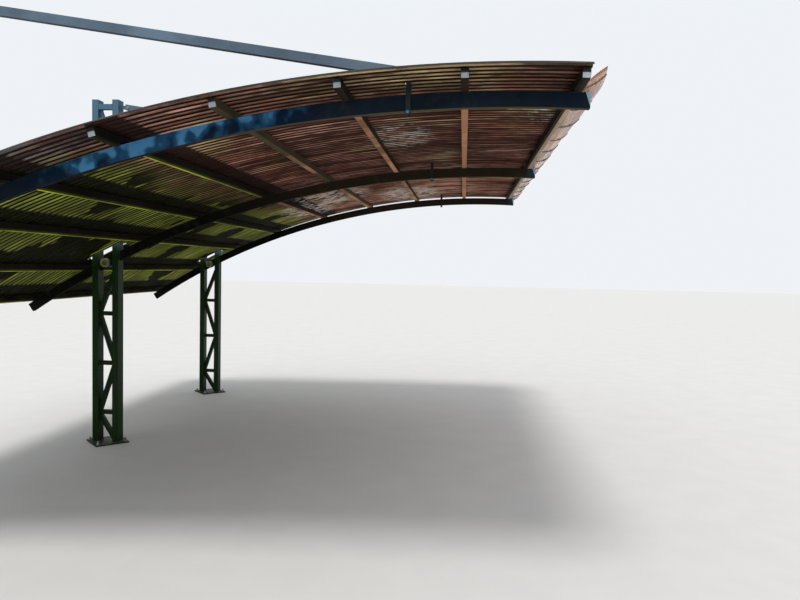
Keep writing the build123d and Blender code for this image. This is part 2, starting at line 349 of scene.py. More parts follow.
def rain_streaks(where, amount):
    """Mask of the marks that rain leaves, drawn out along one axis by the coordinates' scale."""
    fine = remap(noise(where, 1.0, 4.0, 0.6), 0.47, 0.72)
    broad = remap(noise(where, 0.22, 2.0, 0.5), 0.38, 0.62)
    return {"Mask": fine * broad * amount}


def brushed_paint(where, waviness):
    """Height and tone of hand-painted steel: orange peel, brush marks and a slow waviness."""
    brush = noise(stretched(where, (1.0, 1.0, 14.0)), 34.0, 3.0)
    small = noise(where, 260.0, 2.0) * 0.12 + brush * 0.2
    slow = noise(where, 6.5, 2.0)
    return {"Height": small + slow * waviness, "Tone": remap(noise(where, 2.6, 5.0, 0.6), 0.3, 0.7)}


def sheet_weather_and_light(where, pitch):
    """Bands on the waves' flanks, streaks along them and large patches of corrugated plastic: stains and silt
    above, and the masks of painted light and shade below.
    """
    y = split(where)[1]
    wobble = drawn_out(where, (2.0, 9.0, 2.0)) * 0.2
    wave = calculate("COSINE", (calculate("DIVIDE", y, pitch) + 0.5) * (2 * pi)) + (wobble - 0.1)
    # Widens the bands on the flanks further back along the row of masts
    band_widening = remap(y, -0.8, 1.8, 0.0, 0.6)
    return {
        "Flanks": remap(wave + band_widening, -0.45, -0.2) * remap(wave, 0.8, 0.55),
        "Streaks": remap(drawn_out(where, (1.1, 22.0, 1.1), 5.0, 0.66), 0.38, 0.58),
        "Shade runs": remap(drawn_out(where, (0.9, 8.5, 0.9), 4.0, 0.7), 0.5, 0.42),
        "Patches": remap(noise(where, 1.15, 4.0, 0.6), 0.34, 0.52),
        "Stains and shade": remap(drawn_out(where, (1.6, 2.8, 1.6), 6.0, 0.7), 0.44, 0.6),
        "Grain": noise(where, 420.0, 2.0),
    }


def build_group(work_out, values):
    """Node group named as the function that works out its outputs from the coordinates and the values."""
    tree = bpy.data.node_groups.new(work_out.__name__, "ShaderNodeTree")
    tree.interface.new_socket("Coordinates", in_out="INPUT", socket_type="NodeSocketVector")
    for label, default in values.items():
        socket = tree.interface.new_socket(label, in_out="INPUT", socket_type="NodeSocketFloat")
        socket.default_value = default
    given = tree.nodes.new("NodeGroupInput")
    outputs = work_out(Pattern(given, "Coordinates"), *[Pattern(given, label) for label in values])
    for label in outputs:
        tree.interface.new_socket(label, in_out="OUTPUT", socket_type="NodeSocketFloat")
    add_node(tree, "NodeGroupOutput", outputs)


def build_groups():
    build_group(edge_wear, {"Radius": 0.004, "Amount": 1.0})
    build_group(settled_dust, {"Amount": 1.0})
    build_group(rain_streaks, {"Amount": 1.0})
    build_group(brushed_paint, {"Waviness": 0.3})
    build_group(sheet_weather_and_light, {"Pitch": 0.066})


def use_group(name, where, values):
    """The outputs of a node group, by name."""
    placed = add_node(where.tree, "ShaderNodeGroup", {"Coordinates": where, **values},
                      node_tree=bpy.data.node_groups[name])
    return {output.name: Pattern(placed, output.name) for output in placed.outputs}


def start_material(name):
    """A material, its shader and the coordinates that its patterns follow."""
    made = bpy.data.materials.new(name)
    made.use_nodes = True
    tree = made.node_tree
    tree.nodes.clear()
    shader = tree.nodes.new("ShaderNodeBsdfPrincipled")
    add_node(tree, "ShaderNodeOutputMaterial", {"Surface": Pattern(shader)})
    return made, shader, Pattern(add_node(tree, "ShaderNodeTexCoord"), "Object")


# Finishes of the steel
RUST = (0.16, 0.062, 0.026)
PRIMER = (0.26, 0.24, 0.21)
DUST = (0.33, 0.30, 0.25)


def painted_steel(name, colour, gloss, waviness=0.3, wear=0.6, dust=0.5, streak_scale=(30.0, 30.0, 1.4),
                  streaks=0.2, sheen=0.3, recolour=None):
    """Painted tube or plate, with worn edges, dust, rain marks and brush marks."""
    made, shader, where = start_material(name)
    paint = use_group("brushed_paint", where, {"Waviness": waviness})
    base = blend_colours(paint["Tone"], scaled(colour, 0.72), scaled(colour, 1.35))
    if recolour:
        base = recolour(where, base)
    marks = use_group("rain_streaks", stretched(where, streak_scale), {"Amount": streaks})["Mask"]
    base = blend_colours(marks, base, DUST)
    settled = use_group("settled_dust", where, {"Amount": dust})["Mask"]
    base = blend_colours(settled, base, DUST)
    worn = use_group("edge_wear", where, {"Amount": wear})["Mask"]
    bare = blend_colours(noise(where, 60.0), PRIMER, RUST)
    sooty = remap(facing_up(where), -0.5, -0.9, 0.0, 0.6)
    rough = paint["Tone"] * 0.1 + gloss + sooty + settled * 0.45
    set_inputs(shader, {
        "Base Color": blend_colours(worn, base, bare),
        "Roughness": calculate("ADD", rough, worn * 0.3, clamp=True),
        "Specular IOR Level": sheen,
        "Normal": bump(paint["Height"], 0.35, 0.002),
    })
    return made


# Heights between which the colour of the masts and of their welds turns from painted shade to the painted
# sunlight and sky reflection above the roof
MAST_SUNLIT_HEIGHTS = (1.95, 2.15)
WELD_SUNLIT_HEIGHTS = (1.85, 2.05)


def mast_paint(colours):
    def painted_sunlight(where, base):
        # Painted sunlight and sky reflection above the roof, over the painted shade below
        ragged = split(where)[2] + noise(where, 7.0) * 0.25
        return blend_colours(remap(ragged, *MAST_SUNLIT_HEIGHTS), base, colours.mast_sunlit)

    return painted_steel("mast_paint", colours.mast, 0.4, wear=0.35, dust=0.3, streaks=0.04, sheen=0.08,
                         recolour=painted_sunlight)


def arch_radius(where):
    """Distance from the centre of the arches' curve."""
    return distance_from(where, (APEX_X, 0.0, ARCH_CENTRE_Z), (1.0, 0.0, 1.0))


def past_low_purlins(x, reach):
    """Distance up the roof from the nearest of the low purlins, or 0 beyond the reach."""
    offset = 0.0
    for line in PURLIN_XS[4:]:
        here = calculate("LESS_THAN", away_from(x, line), reach)
        offset = (x - line) * here + offset
    return offset


# Colours of the painted sky reflection on the front arch from dark to pale, and of the arches' other marks,
# painted shade, sunlight and light among them
SKY_REFLECTION = ((0.0035, 0.014, 0.034), (0.015, 0.075, 0.155), (0.070, 0.24, 0.46))
INNER_DARK = (0.006, 0.0065, 0.004)
INNER_BROWN = (0.025, 0.0195, 0.012)
SHADED_END = (0.020, 0.042, 0.062)
SUNLIT_END = (0.30, 0.44, 0.56)
SUNLIT_END_REACH = 0.027
UNDERSIDE_LIT_OLIVE = (0.12, 0.095, 0.05)
RING_OLIVE = (0.20, 0.21, 0.085)
PROUD = 0.0005


def arch_marks(where, base):
    """Painted sky reflection in blue clouds on the front arch's outer face; on the other arches dark low down,
    brown up the roof and painted shade at their high ends; painted sunlight on the corners at the high ends;
    painted light on the olive undersides; and olive rings."""
    x, y, _ = split(where)
    radius = arch_radius(where)
    height = remap(radius, ARCH_RADIUS - ARCH_DEPTH, ARCH_RADIUS)
    stretch = remap(x, 0.95, 1.5) * remap(x, 2.75, 1.9)
    reflection_fill = drawn_out(where, (11.0, 0.6, 9.0), 2.0, 0.45) + height * 0.12 + stretch * 0.27
    inner = calculate("GREATER_THAN", y, -BAY / 2)
    # Middle and rear arches: dark low down, brown up the roof
    base = blend_colours(inner, base, blend_colours(remap(x, 0.9, 2.2), INNER_DARK, INNER_BROWN))
    outer = calculate("LESS_THAN", y, -BAY - ARCH_WIDTH / 2 + PROUD) * remap(stretch, 0.0, 0.2)
    # Painted sky reflection: blue clouds on the front arch's outer face
    base = blend_colours(outer, base, SKY_REFLECTION[0])
    base = blend_colours(remap(reflection_fill, 0.62, 0.82) * outer, base, SKY_REFLECTION[1])
    base = blend_colours(remap(reflection_fill, 0.80, 0.92) * outer, base, SKY_REFLECTION[2])
    to_end = x - ARCH_END_X
    base = blend_colours(remap(to_end, -0.10, -0.05) * inner, base, SHADED_END)
    # Painted light, olive, on the undersides up the roof
    below = remap(facing_up(where), -0.6, -0.9) * remap(x, 1.6, 2.6, 0.0, 0.6)
    base = blend_colours(below, base, UNDERSIDE_LIT_OLIVE)
    # Painted sunlight on the corners at the arches' high ends
    corner = to_end + (radius - (ARCH_RADIUS - ARCH_DEPTH)) * (SUNLIT_END_REACH / ARCH_DEPTH)
    base = blend_colours(remap(corner, -0.001, 0.001), base, SUNLIT_END)
    across = calculate("ABSOLUTE", calculate("WRAP", y, BAY / 2, -BAY / 2))
    return blend_colours(calculate("GREATER_THAN", across, ARCH_WIDTH / 2 + PROUD), base, RING_OLIVE)


def arch_paint(colours):
    return painted_steel("arch_paint", colours.arch, 0.26, waviness=1.6, wear=0.3, dust=0.3,
                         streak_scale=(14.0, 40.0, 14.0), streaks=0.03, sheen=0.03, recolour=arch_marks)


# Colours of the painted light on the purlins' undersides, purlin 4's dull brown, and the middle of its lit
# stretch
LIT_GREEN = (0.52, 0.66, 0.04)
LIT_TAN = (0.58, 0.29, 0.16)
LIT_CREAM = (0.52, 0.40, 0.26)
FOURTH_BROWN = (0.060, 0.050, 0.030)
FOURTH_LIT_Y = -1.07


def painted_light_underside(where, base):
    """Painted light on the undersides: they take the sheets' colours in lit stretches and along a lit edge, as
    where sun falls on them, and purlin 4 is dull brown outside its lit stretch.
    """
    x, y, _ = split(where)
    rear_bay = remap(y, -0.1, 0.5)
    warm = larger(remap(x, 1.6, 2.0), rear_bay * remap(x, 0.9, 1.4))
    tan = blend_colours(remap(x, 3.6, 3.8), blend_colours(warm, LIT_GREEN, LIT_TAN), LIT_CREAM)
    mottled = remap(noise(where, 1.9, 5.0, 0.6), 0.4, 0.62, 0.35, 0.95)
    mottled = larger(mottled, remap(x, 2.9, 3.3, 0.0, 0.7))
    fourth = remap(away_from(x, PURLIN_XS[3]), 0.3, 0.2)
    lit_stretch = larger(remap(away_from(y, FOURTH_LIT_Y), 0.5, 0.38), rear_bay)
    mottled = mottled * remap(fourth * (1.0 - lit_stretch), 0.0, 1.0, 1.0, 0.10)
    low_edge = remap(past_low_purlins(x, PURLIN_WIDTH), -0.004, -0.009, 0.04, 1.0)
    low_edge = larger(low_edge, warm * rear_bay)
    mottled = mottled * larger(low_edge, remap(x, 1.75, 2.3))
    first_edge = remap(x, PURLIN_XS[0] - 0.005, PURLIN_XS[0], 0.06, 1.0)
    mottled = mottled * larger(first_edge, calculate("LESS_THAN", x, PURLIN_XS[0] - PURLIN_WIDTH))
    between_arches = remap(calculate("ABSOLUTE", y), BAY + 0.03, BAY - 0.03, 0.04, 1.0)
    shown = remap(facing_up(where), -0.4, -0.9) * mottled * between_arches
    return blend_colours(shown, blend_colours(fourth, base, FOURTH_BROWN), tan)


def purlin_paint(colours):
    return painted_steel("purlin_paint", colours.purlin, 0.45, wear=0.3, dust=0.3,
                         streak_scale=(40.0, 2.0, 40.0), streaks=0.03, sheen=0.06, recolour=painted_light_underside)


def stay_paint(colours):
    return painted_steel("stay_paint", colours.stay, 0.34, waviness=0.5, wear=0.7, dust=0.25,
                         streak_scale=(1.8, 40.0, 40.0))


def end_cap_paint():
    def shaded_top(where, base):
        """The sheets' edge keeps the sun off the caps' upper half, which stays dark."""
        middle = ARCH_RADIUS + PURLIN_HEIGHT / 2
        shade = remap(arch_radius(where), middle - 0.001, middle + 0.003)
        return blend_colours(shade, base, (0.02, 0.02, 0.022))

    # The caps' pale colour is painted sunlight, and their dark upper half painted shade
    return painted_steel("end_cap", (0.40, 0.45, 0.50), 0.4, wear=0.5, dust=0.2, recolour=shaded_top)


def zinc_plate(colour):
    """Dull galvanised steel with a fine spangle and spots of rust."""
    made, shader, where = start_material("zinc")
    spangle = Pattern(add_node(where.tree, "ShaderNodeTexVoronoi", {"Vector": where, "Scale": 160.0}), "Color")
    tone = split(spangle)[0]
    base = blend_colours(tone, scaled(colour, 0.75), scaled(colour, 1.2))
    stain = remap(noise(where, 45.0, 4.0), 0.5, 0.7)
    set_inputs(shader, {
        "Base Color": blend_colours(stain * 0.55, base, RUST),
        "Metallic": 0.85,
        "Roughness": tone * 0.12 + 0.36 + stain * 0.3,
        "Normal": bump(noise(where, 300.0), 0.3, 0.0006),
    })
    return made


def weld_metal(colours):
    """Painted weld: the masts' paint over coarse ripples, with spots of rust."""
    made, shader, where = start_material("weld_metal")
    ripple = noise(where, 210.0, 3.0)
    # Painted shade low down and painted sunlight above the roof, as on the masts
    paint = blend_colours(remap(split(where)[2], *WELD_SUNLIT_HEIGHTS), colours.mast, colours.mast_sunlit)
    rusty = remap(noise(where, 38.0, 4.0), 0.5, 0.68)
    set_inputs(shader, {
        "Base Color": blend_colours(rusty * 0.7, paint, RUST),
        "Roughness": remap(ripple, 0.3, 0.7, 0.35, 0.6),
        "Normal": bump(ripple, 0.5, 0.001),
    })
    return made


# Finishes of the plastic, the rubber and the floor
# The pale, sunlit and pale olive colours are painted light on the waves' flanks of the sheets' underside, and
# the glare colour is painted glare
SHEET_GREY = (0.060, 0.085, 0.105)
SHEET_GREY_BROWN = (0.22, 0.13, 0.085)
SHEET_NEAR_BLUE_GREY = (0.10, 0.15, 0.19)
SHEET_PALE = (0.95, 0.50, 0.36)
SHEET_SUNLIT = (0.86, 0.68, 0.34)
SHEET_PALE_OLIVE = (0.50, 0.56, 0.10)
SHEET_GLARE = (0.95, 0.90, 0.80)
SHEET_SILT = (0.16, 0.135, 0.095)
SHEET_DUST = (0.24, 0.20, 0.16)
SHEET_RIM = (0.012, 0.009, 0.007)

# Middles of the pale glare on the sheets' underside: X, Y and half width
GLARE = ((2.95, -1.35, 0.22), (1.95, 1.2, 0.4), (2.75, 2.3, 0.4), (1.5, 2.0, 0.3), (3.86, -1.9, 0.13))


def glare_mask(where):
    """Soft round patches, drawn out along the row of masts."""
    mask = 0.0
    for x, y, half in GLARE:
        far = distance_from(where, (x, y, 0.0), (1.0, 0.45, 0.0))
        mask = larger(remap(far, half * 1.15, half * 0.6), mask)
    return mask


def sheet_below(where, sheet_masks, brown, olive):
    """Underside of the sheets: painted light on the waves' flanks and painted shade in their valleys and in dark
    patches, painted green light low down, painted shadows in blotches and in strips past the low purlins, greyed
    along the near edge, and painted glare in places."""
    x, y, _ = split(where)
    near_strip = remap(y, -2.5, -2.8)
    # Painted green light on the underside low down
    green_light = remap(x + noise(where, 0.9) * 1.2, 2.3, 1.6) * (1.0 - near_strip)
    greyed = blend_colours(remap(x, 1.2, 2.6), SHEET_GREY, SHEET_GREY_BROWN)
    middle = blend_colours(near_strip * 0.75, blend_colours(green_light, brown, olive), greyed)
    deep = blend_colours(green_light, scaled(brown, 0.05), scaled(olive, 0.04))
    # Painted sunlight: yellower lit lines in patches and up the roof near the front
    sunlit = larger(remap(noise(where, 1.7), 0.5, 0.62), remap(x, 2.6, 3.1) * remap(y, -1.7, -2.1))
    pale = blend_colours(green_light, blend_colours(sunlit, SHEET_PALE, SHEET_SUNLIT), SHEET_PALE_OLIVE)
    lit = blend_colours(larger(sheet_masks["Streaks"] * sheet_masks["Patches"], green_light * 0.35), middle, pale)
    # Blue-grey along the near edge, low down the roof
    lit = blend_colours(near_strip * remap(x, 1.7, 0.9, 0.0, 0.75), lit, SHEET_NEAR_BLUE_GREY)
    shaded = larger(sheet_masks["Stains and shade"] * 0.65, sheet_masks["Shade runs"] * 0.85) * remap(green_light, 0.0, 1.0, 1.0, 0.3)
    # Painted shadows in blotches, in the green low part
    shadow_blotches = remap(drawn_out(where, (1.4, 2.0, 1.4), 2.0, 0.4), 0.46, 0.43)
    shaded = larger(shaded, shadow_blotches * green_light)
    # Painted shadows of the low purlins: dark strips on the sheet just up the roof from each
    past_purlin = past_low_purlins(x + PURLIN_WIDTH, 0.24)
    shaded = larger(shaded, remap(past_purlin, 0.0, 0.005) * remap(past_purlin, 0.21, 0.17))
    # Painted light on the waves' flanks, and painted shade in their valleys
    below = blend_colours(sheet_masks["Flanks"], deep, blend_colours(shaded * 0.96, lit, deep))
    dashes = remap(drawn_out(where, (9.0, 24.0, 9.0), 4.0, 0.6), 0.44, 0.58)
    return blend_colours(glare_mask(where) * (dashes * sheet_masks["Flanks"]), below, SHEET_GLARE)


def corrugated_plastic(colours, pitch):
    """Brown translucent sheet, with painted light and shade below, washed by rain above, with silt in its
    valleys.
    """
    made, shader, where = start_material("corrugated_plastic")
    sheet_masks = use_group("sheet_weather_and_light", where, {"Pitch": pitch})
    brown = tuple(colours.sheet_brown)
    washed = blend_colours(sheet_masks["Streaks"], scaled(brown, 0.28), scaled(brown, 0.4))
    silt = (1.0 - sheet_masks["Flanks"]) * sheet_masks["Stains and shade"]
    above = blend_colours(silt * 0.5, washed, SHEET_SILT)
    above = blend_colours(sheet_masks["Patches"] * 0.22, above, SHEET_DUST)
    looks_up = calculate("GREATER_THAN", facing_up(where), 0.0)
    base = blend_colours(looks_up, sheet_below(where, sheet_masks, brown, colours.sheet_olive), above)
    rim = remap(split(where)[1], 0.034 - SHEET_HALF, 0.028 - SHEET_HALF)
    rough_below = sheet_masks["Flanks"] * -0.24 + 0.5
    rough = add_node(where.tree, "ShaderNodeMix", {0: looks_up, 2: rough_below, 3: silt * 0.4 + 0.2})
    set_inputs(shader, {
        "Base Color": blend_colours(rim, base, SHEET_RIM),
        "Roughness": Pattern(rough),
        "Transmission Weight": 0.3,
        "IOR": 1.3,
        "Specular IOR Level": 0.05,
        "Coat Weight": looks_up * (1.0 - rim) * 0.6,
        "Coat Roughness": 0.12,
        "Normal": bump(sheet_masks["Grain"], 0.12, 0.0005),
    })
    return made


def gutter_plastic(tint):
    """Thin pale pinkish strip, streaked lengthwise and dusty where it looks up."""
    made, shader, where = start_material("gutter_plastic")
    patches = remap(noise(where, 2.2, 4.0), 0.4, 0.62)
    lengthwise = drawn_out(where, (30.0, 1.3, 30.0), 4.0)
    base = blend_colours(patches, tint, scaled(tint, 0.66))
    base = blend_colours(remap(lengthwise, 0.55, 0.7, 0.0, 0.3), base, (0.42, 0.25, 0.17))
    settled = use_group("settled_dust", where, {"Amount": 0.3})["Mask"]
    set_inputs(shader, {
        "Base Color": blend_colours(settled, base, (0.30, 0.23, 0.17)),
        "Roughness": remap(lengthwise, 0.3, 0.7, 0.18, 0.4),
        "Transmission Weight": 0.6,
        "IOR": 1.46,
        "Specular IOR Level": 0.3,
        "Normal": bump(lengthwise, 0.1, 0.0006),
    })
    return made


def black_rubber():
    made, shader, where = start_material("rubber_washer")
    mottled = noise(where, 120.0, 4.0)
    set_inputs(shader, {
        "Base Color": blend_colours(mottled, (0.018, 0.017, 0.016), (0.05, 0.047, 0.043)),
        "Roughness": remap(mottled, 0.2, 0.8, 0.6, 0.85),
        "Normal": bump(mottled, 0.3, 0.0005),
    })
    return made


def floor_finish(colour):
    made, shader, where = start_material("studio_floor")
    shade = remap(noise(where, 3.0, 4.0), 0.3, 0.7)
    set_inputs(shader, {
        "Base Color": blend_colours(shade, colour, scaled(colour, 0.97)),
        "Roughness": 0.75,
        "Specular IOR Level": 0.2,
    })
    return made


# Mesh building
def finish_piece(name, bm, material, smooth_below=0.6, replaced=()):
    """Turns a bmesh into a piece of the object that rides on the frame."""
    for edge in bm.edges:
        edge.smooth = len(edge.link_faces) != 2 or edge.calc_face_angle(pi) < smooth_below
    for face in bm.faces:
        face.smooth = True
    mesh = bpy.data.meshes.new(name)
    bm.to_mesh(mesh)
    bm.free()
    mesh.materials.append(material)
    piece = bpy.data.objects.new(name, mesh)
    bpy.context.scene.collection.objects.link(piece)
    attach(piece, "root")
    if replaced:
        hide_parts(*replaced)
    return piece


def add_wall(piece, name, thickness):
    """Gives a sheet its thickness, on its upper side."""
    wall = piece.modifiers.new(name, "SOLIDIFY")
    wall.thickness = thickness
    wall.offset = 1.0


def face_up(bm):
    bmesh.ops.recalc_face_normals(bm, faces=bm.faces[:])
    if sum(face.normal.z for face in bm.faces) < 0:
        bmesh.ops.reverse_faces(bm, faces=bm.faces[:])


def bevel_edges(bm, edges, offset, segments):
    bmesh.ops.bevel(bm, geom=list(edges), offset=offset, segments=segments, profile=0.5, affect="EDGES",
                    material=-1)


def add_prism(bm, place, sides, radius, low, high, chamfer=0.0):
    """Round or many-sided bar on the placement's z axis, with its outer edges broken."""
    at = place @ Matrix.Translation((0, 0, (low + high) / 2))
    made = bmesh.ops.create_cone(bm, cap_ends=True, segments=sides, radius1=radius, radius2=radius,
                                 depth=high - low, matrix=at)
    if chamfer:
        rims = {edge for vert in made["verts"] for edge in vert.link_edges
                if max(len(face.verts) for face in edge.link_faces) == sides}
        bevel_edges(bm, rims, chamfer, 1)


def add_box(bm, place, size, bevel):
    made = bmesh.ops.create_cube(bm, size=1.0, matrix=place @ Matrix.Diagonal((*size, 1.0)))
    bevel_edges(bm, {edge for vert in made["verts"] for edge in vert.link_edges}, bevel, 2)


THREAD_PITCH = 0.0025
THREAD_ROOT = 0.86


def add_thread(bm, place, radius, low, high):
    """Threaded end: a zigzag side spun round the placement's z axis."""
    turns = max(2, round((high - low) / THREAD_PITCH))
    pitch = (high - low) / turns
    side = [Vector((0, 0, low)), Vector((radius, 0, low))]
    for turn in range(turns):
        top = low + pitch * (turn + 1)
        side += [Vector((radius * THREAD_ROOT, 0, top - pitch / 2)), Vector((radius, 0, top))]
    tip = high + radius * 0.12
    side += [Vector((radius * 0.8, 0, tip)), Vector((0, 0, tip))]
    verts = [bm.verts.new(place @ point) for point in side]
    edges = [bm.edges.new(pair) for pair in zip(verts, verts[1:])]
    axis = place.to_3x3() @ Vector((0, 0, 1))
    spun = bmesh.ops.spin(bm, geom=verts + edges, cent=place.translation, axis=axis, angle=2 * pi, steps=12,
                          use_merge=True, use_normal_flip=False, use_duplicate=False)
    touched = set(verts) | {item for item in spun["geom_last"] if isinstance(item, bmesh.types.BMVert)}
    grown = touched
    while grown:
        grown = {edge.other_vert(vert) for vert in grown for edge in vert.link_edges} - touched
        touched = touched | grown
    bmesh.ops.remove_doubles(bm, verts=list(touched), dist=1e-5)


def add_bolt(bm, place, across, head, washer, washer_radius, stud_radius=0.0, stud=0.0):
    """Washer, hexagon and, where it shows, the threaded end on the placement's z axis."""
    add_prism(bm, place, 20, washer_radius, 0.0, washer, washer / 4)
    add_prism(bm, place, 6, across / 3 ** 0.5, washer, washer + head, across * 0.05)
    if stud:
        add_thread(bm, place, stud_radius, washer + head, washer + head + stud)


def tubes_along(lines):
    """Mesh of round tubes along lists of (point, radius) pairs. A closed line is marked by True."""
    curve = bpy.data.curves.new("tube_lines", "CURVE")
    curve.dimensions = "3D"
    curve.bevel_depth = 1.0
    curve.bevel_resolution = 1
    curve.use_fill_caps = True
    for points, closed in lines:
        spline = curve.splines.new("POLY")
        spline.points.add(len(points) - 1)
        for made, (point, radius) in zip(spline.points, points):
            made.co = (*point, 1.0)
            made.radius = radius
        spline.use_cyclic_u = closed
    holder = bpy.data.objects.new("tube_lines", curve)
    mesh = bpy.data.meshes.new_from_object(holder)
    bpy.data.objects.remove(holder)
    bpy.data.curves.remove(curve)
    bm = bmesh.new()
    bm.from_mesh(mesh)
    bpy.data.meshes.remove(mesh)
    bmesh.ops.remove_doubles(bm, verts=bm.verts[:], dist=1e-6)
    bmesh.ops.recalc_face_normals(bm, faces=bm.faces[:])
    return bm


def bead(corners, width, closed=True):
    """Rippled weld bead along straight runs between the corners."""
    step = width * 0.45
    stops = corners + corners[:1] if closed else corners
    points = []
    for start, end in zip(stops, stops[1:]):
        count = max(2, round((end - start).length / step))
        points += [start.lerp(end, part / count) for part in range(count)]
    if not closed:
        points.append(stops[-1])
    swell = (1.0, 0.78, 0.94, 0.72)
    return [(point, width / 2 * swell[index % len(swell)]) for index, point in enumerate(points)], closed


def rectangle(x, y, z, half_y, half_z):
    """Corners of a rectangle in the plane across X."""
    return [Vector((x, y + side_y * half_y, z + side_z * half_z)) for side_y, side_z in CORNERS]


# Roof
SHEET_STEPS = 44
STEPS_PER_WAVE = 12
SLOT_MARGIN = (0.15, 0.03)

# Sides, radius, low and high of the roofing screws' parts, from the sheet's crest
SCREW_WASHER = (10, 0.011, 0.0, 0.003)
SCREW_FLANGE = (12, 0.010, 0.003, 0.0045)
SCREW_HEXAGON = (6, 0.0055, 0.0045, 0.010)
SCREW_SHANK = 0.003


def sheet_span(number, pitch):
    """Near edge and number of waves of a sheet. The first and the last are narrow ones."""
    edge = EDGE_WAVES * pitch
    full = (2 * SHEET_HALF - 2 * edge) / (SHEET_COUNT - 2)
    if number == 1:
        return -SHEET_HALF, EDGE_WAVES
    near = -SHEET_HALF + edge + (number - 2) * full
    return near, EDGE_WAVES if number == SHEET_COUNT else FULL_WAVES


def wave_lift(across, waves, sizes):
    """Height of the corrugation's underside. The last wave rises to lap over the next sheet."""
    lift = sizes.wave_height / 2 * (1 - cos(2 * pi * across / sizes.wave_pitch))
    rise = min(max((across / sizes.wave_pitch - waves + 0.5) / 0.5, 0.0), 1.0)
    return lift + SHEET_LAP * rise * rise * (3 - 2 * rise)


def cut_slot(bm, x, y, half_x, half_y):
    """Cuts a four-sided hole through the sheet."""
    def faces_within(reach_x, reach_y):
        middles = [(face, face.calc_center_median()) for face in bm.faces]
        return [face for face, at in middles if abs(at.x - x) < reach_x and abs(at.y - y) < reach_y]

    for normal, at in (((1, 0, 0), x - half_x), ((1, 0, 0), x + half_x), ((0, 1, 0), y - half_y),
                       ((0, 1, 0), y + half_y)):
        near = faces_within(half_x + SLOT_MARGIN[0], half_y + SLOT_MARGIN[1])
        parts = near + list({edge for face in near for edge in face.edges})
        parts += list({vert for face in near for vert in face.verts})
        bmesh.ops.bisect_plane(bm, geom=parts, dist=1e-6, plane_co=Vector(normal) * at, plane_no=normal)
    bmesh.ops.delete(bm, geom=faces_within(half_x, half_y), context="FACES")


def corrugated_sheet(number, sizes):
    """Smooth waves bent round the arches, with slots for the masts and the hangers."""
    near, waves = sheet_span(number, sizes.wave_pitch)
    inset = sizes.sheet_thickness / 2
    width = (waves + LAP_WAVES) * sizes.wave_pitch - sizes.sheet_thickness - inset
    low = PURLIN_ANGLES[-1] - SHEET_LOW_PAST / SHEET_BASE
    high = PURLIN_ANGLES[0] + (PURLIN_WIDTH / 2 + SHEET_HIGH_PAST) / SHEET_BASE
    bm = bmesh.new()
    bmesh.ops.create_grid(bm, x_segments=SHEET_STEPS, y_segments=round((waves + LAP_WAVES) * STEPS_PER_WAVE),
                          size=0.5)
    for vert in bm.verts:
        across = inset + (vert.co.y + 0.5) * width
        angle = low + (high - low) * (vert.co.x + 0.5)
        vert.co = arch_point(angle, SHEET_BASE + wave_lift(across, waves, sizes), near + across)
    for y in MASTS.values():
        if near - MAST_SLOT[1] < y < near + width + MAST_SLOT[1]:
            cut_slot(bm, 0.0, y, *MAST_SLOT)
            for side in (-1, 1):
                cut_slot(bm, HANGER_X, y + side * HANGER_BAR_Y, *HANGER_SLOT)
    face_up(bm)
    return bm


class CARPORT_OT_roof_sheets(bpy.types.Operator):
    """Lays the corrugated plastic sheets over the purlins"""
    bl_idname = "carport.roof_sheets"
    bl_label = "Roof sheets"

    def execute(self, context):
        sizes = context.scene.carport_sizes
        material = corrugated_plastic(context.scene.carport_colours, sizes.wave_pitch)
        for number in range(1, SHEET_COUNT + 1):
            piece = finish_piece(f"corrugated_sheet_{number}", corrugated_sheet(number, sizes), material,
                                 replaced=[f"roof_sheet_{number}"])
            add_wall(piece, "sheet_wall", sizes.sheet_thickness)
        return {"FINISHED"}


class CARPORT_OT_roof_screws(bpy.types.Operator):
    """Sets capped roofing screws on the waves' crests along each purlin"""
    bl_idname = "carport.roof_screws"
    bl_label = "Roofing screws"

    def execute(self, context):
        sizes = context.scene.carport_sizes
        crest = SHEET_BASE + sizes.wave_height + sizes.sheet_thickness
        pitch = sizes.wave_pitch
        reach = int(SHEET_HALF / (sizes.screw_waves * pitch)) + 1
        heads, washers = bmesh.new(), bmesh.new()
        for row, angle in enumerate(PURLIN_ANGLES):
            for step in range(-reach, reach + 1):
                y = (step * sizes.screw_waves + row % 2 + 0.5) * pitch
                if abs(y) > SHEET_HALF - pitch:
                    continue
                place = arch_place(angle, crest, y)
                add_prism(washers, place, *SCREW_WASHER)
                add_prism(heads, place, *SCREW_FLANGE)
                add_prism(heads, place, *SCREW_HEXAGON)
                add_prism(heads, place, 6, SCREW_SHANK, -sizes.wave_height - 0.003, 0.0)
        finish_piece("roofing_screws", heads, bpy.data.materials["zinc"], 0.4)
        finish_piece("screw_washers", washers, black_rubber(), 0.4)
        return {"FINISHED"}


# Gutter
FILM_END = 0.35
FILM_CORNER = Vector((-0.036, -0.03, 0.016))
FILM_BELLY = Vector((-0.06, 0.0, 0.07))
TIE_INSET = 0.1
TIE_KNOT = 2.2
TIE_SHARES = (0.02, 0.25, 0.45, 0.49, 0.51, 0.55, 0.75, 0.97)
KNOT_SHARES = (0.49, 0.51)


def gutter_line(share):
    """Point of the strip's outer side, from the purlin's foot to the lip."""
    face = arch_place(PURLIN_ANGLES[0], SHEET_BASE) @ Vector((PURLIN_WIDTH / 2, 0, 0))
    face_x = face.x + FIT
    seat = arch_point(angle_at(face_x), ARCH_RADIUS).z
    run = share * (GUTTER_FLAT + GUTTER_RADIUS * GUTTER_TURN)
    if run < GUTTER_FLAT:
        return Vector((face_x + run, 0, seat))
    turn = (run - GUTTER_FLAT) / GUTTER_RADIUS
    return Vector((face_x + GUTTER_FLAT + GUTTER_RADIUS * sin(turn), 0,
                   seat + GUTTER_RADIUS * (1 - cos(turn))))


